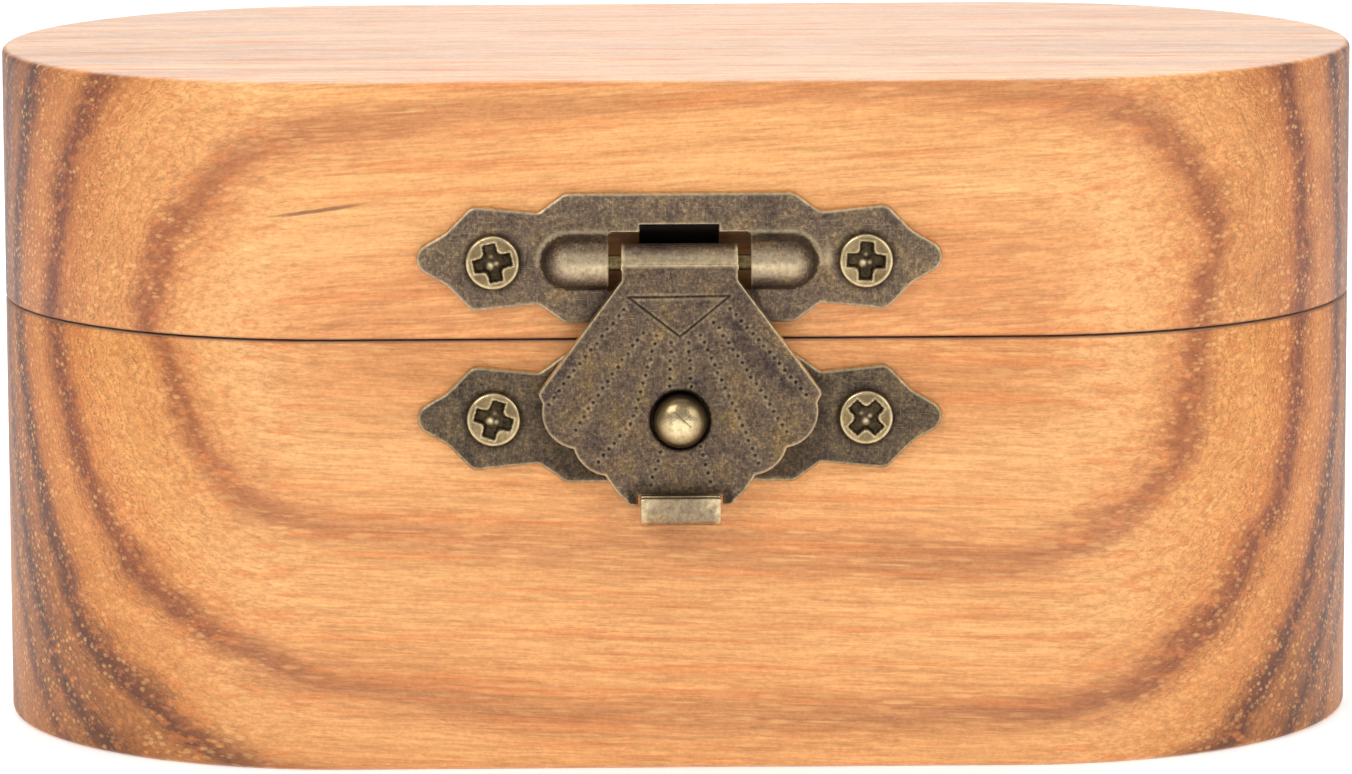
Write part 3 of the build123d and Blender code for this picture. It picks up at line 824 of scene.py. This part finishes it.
def lower_paints(points, gap):
    edge = distance(points, lower_outline)
    # Painted shadow where the leaf hangs in front of the plate
    leaf_shadow = falls(np.abs(points[:, 0] - latch_x), 6.2, 1.6) * 0.45 * (edge > 0.3)
    grime = np.maximum(leaf_shadow, dark_ring_round_screws(points, lower_screw_z))
    return {"wear": falls(edge, 0, 0.19) * 0.85, "grime": grime}


lower_outline = plate_outline(lower_plate_z)
lower_holes = [circle(x, lower_screw_z, screw_hole) for x in screw_places]
lower_plate = relief(
    "lower_latch_plate_pressed", lower_outline, lower_holes, front_y,
    lower_height, lower_paints, dark_brass, 0.2,
)
stands_for(lower_plate, "lower_latch_plate", "base")


# Hasp leaf

knuckle_half, shoulder_z = 2.92, 25.1
lip_half, slit, slit_high = 2.0, 0.12, 0.5
leaf_hole, leaf_rim, knuckle_rim = 1.47, 0.15, 0.03
scallops = [(6.87, 18.9), (5.34, 16.62), (3.75, 15.25), (2.5, 13.74)]
bulges = [(6.5, 17.3), (4.9, 15.85), (3.22, 14.45)]
leaf_low = scallops[-1][1]

half_leaf = [((0, hasp_axis_z), 0), ((knuckle_half, hasp_axis_z), 0), ((knuckle_half, shoulder_z), 0.3)]
half_leaf += [((7.12, 19.4), 0.32), (scallops[0], 0), ((0, scallops[0][1]), 0)]
half_leaf = rounded(half_leaf)[1:-1]
for start, bulge, end in zip(scallops, bulges, scallops[1:]):
    half_leaf += arc_through(start, bulge, end, 10)
# The last scallop ends in a small bevel, and a slit runs up beside the finger lip
half_leaf[-1:] = [(2.62, 13.84), (2.5, 13.76), (2.38, leaf_low)]
slit_x, slit_top = lip_half + slit, leaf_low + slit_high
half_leaf += [(slit_x, leaf_low), (slit_x, slit_top), (lip_half, slit_top)]
leaf_outline = [(latch_x + x, z) for x, z in half_leaf] + [(latch_x - x, z) for x, z in reversed(half_leaf)]

# Rows of punched dots that fan out like a shell's ribs, each from its upper to its lower end
dot_rows = [
    ((-0.45, 21.95), (-0.55, 19.75)), ((0.42, 21.95), (0.55, 19.75)), ((-1.12, 22.35), (-2.45, 17.9)),
    ((1.0, 22.35), (3.9, 15.85)), ((-1.85, 22.5), (-5.25, 17.6)), ((1.68, 23.0), (5.3, 17.45)),
    ((-2.75, 23.65), (-6.55, 18.9)), ((2.5, 23.65), (6.25, 19.3)), ((-1.0, 16.45), (-1.5, 14.75)),
    ((1.0, 16.75), (1.5, 14.95)), ((-2.45, 17.9), (-4.1, 16.0)),
]
dot_pitch, dot_radius, dot_depth, dot_stray, row_bow = 0.41, 0.1, 0.08, 0.02, 0.02
burr_radius, burr_half, burr_high = 0.14, 0.05, 0.012
groove_half, groove_depth = 0.075, 0.06
triangle = [(latch_x - 2.55, 24.25), (latch_x + 2.5, 24.3), (latch_x, 22.26)]

shake = np.random.default_rng(11)
dots = []
for start, end in np.array(dot_rows):
    run = end - start
    number = int(np.hypot(*run) / dot_pitch)
    bow = row_bow * run[0] * abs(run[0])
    for t in np.arange(number + 1) / number:
        dots.append(start + run * t + (latch_x + bow * t * (1 - t), 0) + shake.normal(0, dot_stray, 2))

# Mesh points that resolve the dots, shared where dots overlap, and the grooves
detail = [q for x, z in dots for q in [(x, z)] + circle(x, z, 0.07, 6) + circle(x, z, 0.13, 6)]
detail = list(dict.fromkeys((round(x, 4), round(z, 4)) for x, z in detail))
for start, end in zip(np.array(triangle), np.roll(triangle, -1, 0)):
    length = np.hypot(*(end - start))
    along, across = (end - start) / length, sideways(end[None] - start)[0]
    for s in np.arange(0, length, 0.09):
        detail += [tuple(start + along * s + across * off) for off in (-0.08, 0, 0.08)]


def from_dots(points):
    return np.min([off_centre(points, x, z) for x, z in dots], axis=0)


def leaf_height(points, gap):
    dot = from_dots(points)
    pit = dot_depth * falls(dot, 0, dot_radius)
    burr = burr_high * peaks(dot, burr_radius, burr_half)
    groove = groove_depth * falls(distance(points, triangle), 0, groove_half)
    by_knuckle = points[:, 1] > shoulder_z + 0.45
    return leaf_sheet - pit + burr - groove - np.where(by_knuckle, rim(gap, knuckle_rim), rim(gap, leaf_rim))


def leaf_paints(points, gap):
    dot, line = from_dots(points), distance(points, triangle)
    from_hole = np.abs(off_centre(points, latch_x, knob_z) - leaf_hole)
    rubbed = falls(gap, 0, 0.15) * 0.95 * (from_hole > 0.3)
    burr = peaks(dot, burr_radius + 0.01, burr_half) * 0.25
    glint = peaks(line, 0.11, 0.05) * 0.3
    above_lip = falls(points[:, 1], leaf_low + 0.45, 0.9) * (np.abs(points[:, 0] - latch_x) < 2.6) * 0.8
    dark = np.maximum.reduce([
        falls(dot, 0.25 * dot_radius, dot_radius) * 0.85,
        falls(line, 0.2 * groove_half, groove_half) * 0.75,
        falls(from_hole, 0, 0.16) * 0.55,
        above_lip * (gap > 0.06),
    ])
    return {"wear": np.maximum.reduce([rubbed, burr, glint]), "grime": dark}


leaf_holes = [circle(latch_x, knob_z, leaf_hole, 64)]
leaf = relief(
    "hasp_leaf_engraved", leaf_outline, leaf_holes, leaf_back_y,
    leaf_height, leaf_paints, leaf_brass, 0.13, extra=detail,
)

roll = ring_arc(hasp_axis_y, hasp_axis_z, knuckle_radius, 180, -90)
roll += ring_arc(hasp_axis_y, hasp_axis_z, leaf_bore, -90, 180)
knuckle = prism("knuckle", roll, latch_x - knuckle_half, latch_x + knuckle_half, leaf_brass, edge=0.06)
# Rubbed along its front, where a painted highlight also lies, and at its ends; dark on top
above = np.array([v.co.z / mm - hasp_axis_z for v in knuckle.data.vertices])
ends = np.array([abs(v.co.x / mm - latch_x) > knuckle_half - 0.08 for v in knuckle.data.vertices])
paint_on(knuckle.data, "wear", peaks(above, 0.1, 0.7) * 0.55 + ends * 0.5)
paint_on(knuckle.data, "grime", rises(above, 0.4, 0.5) * 0.4 * ~ends)

lip_in, lip_low, lip_top = 0.25, 12.8, 14.25
lip_out = lip_in + leaf_sheet
leaf_front_y = leaf_back_y - leaf_sheet
lip_y, lip_z = leaf_front_y - lip_in, lip_low + lip_out
lip_profile = [(leaf_back_y, slit_top)] + ring_arc(lip_y, lip_z, lip_out, 0, -180, 19)
lip_profile += [(lip_y - lip_out, lip_top), (lip_y - lip_in, lip_top)]
lip_profile += ring_arc(lip_y, lip_z, lip_in, -180, 0, 13) + [(leaf_front_y, slit_top)]
lip = prism("lip", lip_profile, latch_x - lip_half, latch_x + lip_half, leaf_brass, edge=0.07, wear=0.3)
leaf = joined(leaf, knuckle, lip)
stands_for(leaf, "hasp_leaf", "hasp")


# Screws

cross_half, arm_half, arm_taper, cross_fillet = 0.97, 0.34, 0.02, 0.30
recess_deep, recess_floor, recess_slope = 0.42, 0.03, 0.11
thread_pitch, thread_radius, root_radius = 0.7, 0.85, 0.62
smooth_shank, thread_clear, point_high = 0.6, 0.9, 0.5
small_head = 1.25
# Heads: radius, height over the seat, fall of the crown, rounding of the rim, size of the recess
latch_head = (head_radius, 0.42, 0.05, 0.14, 1.0)
hinge_head = (small_head, 0.25, 0.2, 0.02, 0.85)
# What comes right under the head, as radius and height
straight_neck = [(0, 0), (root_radius, 0), (root_radius, -smooth_shank)]
sunk_neck = [(0, 0), (1.2, 0), (root_radius, -smooth_shank), (root_radius, -0.9)]
# Painted glints in a recess: angle, distance from the middle, size, strength
recess_glints = [(225, 0.22, 0.17, 1.0), (-30, 0.2, 0.11, 0.7), (95, 0.3, 0.1, 0.45)]


def neck_and_thread(neck, length):
    """Half profile of a screw under its head: a neck, thread ridges and a point."""
    profile, depth = list(neck), -smooth_shank
    while depth - thread_pitch > thread_clear - length:
        profile += [(thread_radius, depth - thread_pitch / 2), (root_radius, depth - thread_pitch)]
        depth -= thread_pitch
    return profile + [(root_radius / 2, point_high - length), (0, -length)]


def screw(node, body, x, z, seat_y, facing, turn_degrees, head, shank):
    """A screw in a part's place: a head with a cross recess, over a ringed shank that bites the wood."""
    radius, high, dome, rim_round, scale = head
    turned = radians(turn_degrees)

    def recess(points):
        """Distance from the middle, depth of the sloping recess, and how far inside it a point lies."""
        px, pz = points[:, 0] - x, points[:, 1] - z
        u = np.abs(px * cos(turned) + pz * sin(turned)) / scale
        v = np.abs(pz * cos(turned) - px * sin(turned)) / scale
        arms = [np.minimum(cross_half - p, arm_half + arm_taper * (1 - p) - q) for p, q in ((u, v), (v, u))]
        within = blend_up(*arms, cross_fillet)
        deep = recess_deep * (1 - 0.45 * np.clip(np.hypot(u, v) / cross_half, 0, 1))
        return np.hypot(px, pz), rises(within, 0, recess_slope) * deep * scale, within * scale

    def head_height(points, gap):
        off, depth, _ = recess(points)
        crown = high - dome * (off / radius) ** 2 - rim(radius - off, rim_round)
        return np.maximum(crown - depth, recess_floor * (1 + 2 * falls(off, 0, 0.3)))

    def head_paints(points, gap):
        off, depth, within = recess(points)
        # Painted highlights on the recess's upper walls and at glinting spots
        upper_wall = peaks(depth, 0.2, 0.12) * (off < 0.55) * 0.5 * (points[:, 1] > z - 0.1)
        glints = [upper_wall]
        for angle, away, size, strength in recess_glints:
            a = radians(angle + turn_degrees)
            spot = off_centre(points, x + away * cos(a), z + away * sin(a))
            glints.append(falls(spot, 0.4 * size, size) * strength)
        glint = np.max(glints, axis=0)
        rims = np.maximum(peaks(radius - off, 0.08, 0.12) * 0.9, peaks(within, -0.05, 0.06) * 0.8)
        # The recess darkens with depth: patina and painted shade
        return {"wear": np.maximum(rims, glint), "grime": rises(depth, 0, 0.16) * 0.94 * (1 - glint)}

    top = relief(
        node + "_cut", circle(x, z, radius, 56), [], seat_y,
        head_height, head_paints, screw_brass, 0.075, (0.03, 0.07, 0.12), facing=facing,
    )
    stem = lathe(node + "_cut_shank", shank, (x, seat_y, z), (0, facing, 0), screw_brass, 24)
    stands_for(joined(top, stem), node, body)


# A hair inside the plate's front, so the head's back lies inside the plate's hole
latch_seat_y = front_y - sheet + 0.001
latch_shank = neck_and_thread(straight_neck, 4.3)
latch_screws = {
    "latch_screw_upper_left": ("lid", screw_places[0], upper_screw_z, 12),
    "latch_screw_upper_right": ("lid", screw_places[1], upper_screw_z, -3),
    "latch_screw_lower_left": ("base", screw_places[0], lower_screw_z, -17),
    "latch_screw_lower_right": ("base", screw_places[1], lower_screw_z, 45),
}
for node, (body, x, z, turn_degrees) in latch_screws.items():
    screw(node, body, x, z, latch_seat_y, -1, turn_degrees, latch_head, latch_shank)


# Knob: a domed stud, its crown rubbed bright and painted with a highlight, painted shade round its edge and
# foot, and scratched

knob_radius, knob_high, dome_start, dome_rings = 1.3, 2.9, 2.1, 48
scratch = [(-0.48, 18.62), (0.3, 17.9)]
# The crown is rubbed bright and also serves as a painted highlight; the dome's edge and the foot, which sit
# in the leaf's hole, get painted shade
knob_profile = []
for k in range(dome_rings + 1):
    a = k / dome_rings * pi / 2
    off = knob_radius * sin(a) ** 0.9
    high = dome_start + (knob_high - dome_start) * cos(a) ** 0.85
    knob_profile.append((off, high, falls(off, 0.36, 0.72), rises(off, 0.95, 0.35) * 0.5))
knob_profile += [(knob_radius, dome_start - 0.15, 0.1, 0.45), (knob_radius, 1.0, 0, 0.9)]
knob_profile += [(knob_radius, sheet, 0, 0.95), (0, sheet, 0, 0.9)]
rivet_profile = [(0, sheet), (0.7, sheet), (0.7, 0), (1.05, 0), (1.05, -0.45), (0, -0.45)]
knob = lathe("catch_knob_domed", knob_profile, (latch_x, front_y, knob_z), (0, -1, 0), knob_brass, 128)
vertices = knob.data.vertices
from_scratch = distance(np.array([(v.co.x / mm, v.co.z / mm) for v in vertices]), scratch, closed=False)
on_crown = np.array([v.co.y / mm < front_y - dome_start for v in vertices])
grime = np.array([value.value for value in knob.data.attributes["grime"].data])
paint_on(knob.data, "grime", np.maximum(grime, falls(from_scratch, 0.015, 0.05) * 0.8 * on_crown))
rivet = lathe("knob_rivet", rivet_profile, (latch_x, front_y, knob_z), (0, -1, 0), knob_brass, 32)
knob = joined(knob, rivet)
stands_for(knob, "catch_knob", "base")


# Rear butt hinges

hinge_spacing, hinge_width, hinge_leaf_high, hinge_sheet = 19.4, 13.0, 6.6, 0.5
hinge_bore, hinge_outer, knuckle_gap, middle_knuckle = 0.53, 1.05, 0.12, 4.6
hinge_screw_x, hinge_screw_z, hinge_hole, hinge_roll = 4.1, 3.9, 0.72, 300
hinge_y = back_y + hinge_outer
half_width, half_middle = hinge_width / 2, middle_knuckle / 2
outer_knuckles = [(-half_width, -half_middle - knuckle_gap), (half_middle + knuckle_gap, half_width)]
inner_knuckles = [(-half_middle, half_middle)]


def hinge_leaf(name, x, up_sign, outer):
    """A leaf flat on the back, with rolled knuckles: the two outer ones, or the middle one."""
    far = seam_height + up_sign * hinge_leaf_high
    cleared = seam_height + up_sign * (hinge_outer + knuckle_gap)
    if outer:
        m = half_middle + knuckle_gap
        inner_end = [((-half_width, seam_height), 0), ((-m, seam_height), 0), ((-m, cleared), 0.15)]
    else:
        m = half_middle
        inner_end = [((-half_width, cleared), 0.2), ((-m, cleared), 0.15), ((-m, seam_height), 0)]
    outline = rounded(mirrored([((-half_width, far), 0.8)] + inner_end), x=x)
    places = [(x + s * hinge_screw_x, seam_height + up_sign * hinge_screw_z) for s in (-1, 1)]

    def from_screw(points):
        return np.min([off_centre(points, px, pz) for px, pz in places], axis=0)

    def height(points, gap):
        dish = np.clip(small_head + 0.06 - from_screw(points), 0, 0.6)
        return hinge_sheet - dish - rim(distance(points, outline), 0.12)

    def paints(points, gap):
        by_screw = falls(from_screw(points), small_head, 0.3) * 0.8
        by_roll = falls(np.abs(points[:, 1] - seam_height), 1.1, 0.5) * 0.6
        rubbed = falls(distance(points, outline), 0, 0.22) * 0.8
        return {"wear": rubbed, "grime": np.maximum(by_screw, by_roll)}

    holes = [circle(px, pz, hinge_hole, 32) for px, pz in places]
    flat = relief(name, outline, holes, back_y, height, paints, plate_brass, 0.24, facing=1)
    last = 180 - up_sign * hinge_roll
    section = ring_arc(hinge_y, seam_height, hinge_outer, 180, last, 35)
    section += ring_arc(hinge_y, seam_height, hinge_bore, last, 180, 35)
    rolls = [
        prism(name + "_roll", section, x + low, x + high, plate_brass, edge=0.06, wear=0.3)
        for low, high in (outer_knuckles if outer else inner_knuckles)
    ]
    return joined(flat, *rolls)


# One end of the pin and its head, as radius and height
pin_profile = [(0, -6.85), (0.55, -6.85), (0.72, -6.78), (0.8, -6.62), (0.8, -6.5), (0.5, -6.5)]
pin_profile += [(r, -h) for r, h in reversed(pin_profile)]
pin_profile = [(r, h, 0.6, 0) for r, h in pin_profile]
hinge_shank = neck_and_thread(sunk_neck, 4.1)
for side, sign in (("left", -1), ("right", 1)):
    x = sign * hinge_spacing / 2
    low_leaf = hinge_leaf(f"{side}_hinge_base_leaf_rolled", x, -1, True)
    stands_for(low_leaf, f"{side}_hinge_base_leaf", "base")
    high_leaf = hinge_leaf(f"{side}_hinge_lid_leaf_rolled", x, 1, False)
    stands_for(high_leaf, f"{side}_hinge_lid_leaf", "lid")
    pin = lathe(f"{side}_hinge_pin_headed", pin_profile, (x, hinge_y, seam_height), (1, 0, 0), pin_brass, 32)
    stands_for(pin, f"{side}_hinge_pin", "base")
    for body, up_sign in (("base", -1), ("lid", 1)):
        for number, place in ((1, -1), (2, 1)):
            screw(
                f"{side}_hinge_{body}_screw_{number}", body,
                x + place * hinge_screw_x, seam_height + up_sign * hinge_screw_z,
                back_y + hinge_sheet, 1, 23 * number + 31 * up_sign, hinge_head, hinge_shank,
            )

# The hasp's pin keeps its own shape
hasp_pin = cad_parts["hasp_pin"].data
hasp_pin.materials.clear()
hasp_pin.materials.append(pin_brass)


# Studio: a pale floor, white surroundings and soft lights

floor_size, light_aim = 6000, Vector((0, 0, 0.015))
floor_paint = Paint("pale_floor", Roughness=0.7, Emission_Strength=0.3, Emission_Color=(1, 1, 1, 1))
floor_paint.inputs["Base Color"].default_value = (0.9, 0.9, 0.9, 1)
floor_corners = [(x * floor_size, y * floor_size, 0) for x, y in ((-1, -1), (1, -1), (1, 1), (-1, 1))]
floor = piece("floor", floor_corners, [(0, 1, 2, 3)], floor_paint.material)

# Dim in front and bright behind, so the flat metal stays dark; the backdrop itself stays white
front_light, back_light = 0.36, 0.92
world = bpy.data.worlds.new("studio")
bpy.context.scene.world = world
world.use_nodes = True
sky = Nodes(world.node_tree)
background = sky.tree.nodes["Background"].inputs
background["Color"].default_value = (1, 1, 1, 1)
depth = sky.axes(sky.node("TexCoord").outputs["Generated"])["Y"]
dimmed = sky.spread(depth, -1.0, 0.3, front_light, back_light)
from_camera = sky.node("LightPath").outputs["Is Camera Ray"]
sky.feed(background["Strength"], sky.node("Mix", {0: from_camera, 2: dimmed, 3: 1.0}).outputs[0])

# Place in metres, size and power
lights = {
    "key": ((-0.30, -0.50, 0.45), 0.35, 1.6),
    "fill": ((0.42, -0.45, 0.30), 0.40, 1.0),
    "top": ((0.0, 0.15, 0.6), 0.5, 1.6),
}
for name, (position, size, power) in lights.items():
    data = bpy.data.lights.new(name, "AREA")
    data.size, data.energy = size, power
    lamp = put(name, data)
    lamp.location = position
    lamp.rotation_mode = "QUATERNION"
    lamp.rotation_quaternion = (light_aim - Vector(position)).to_track_quat("-Z", "Y")

bpy.context.scene.view_settings.view_transform = "Standard"
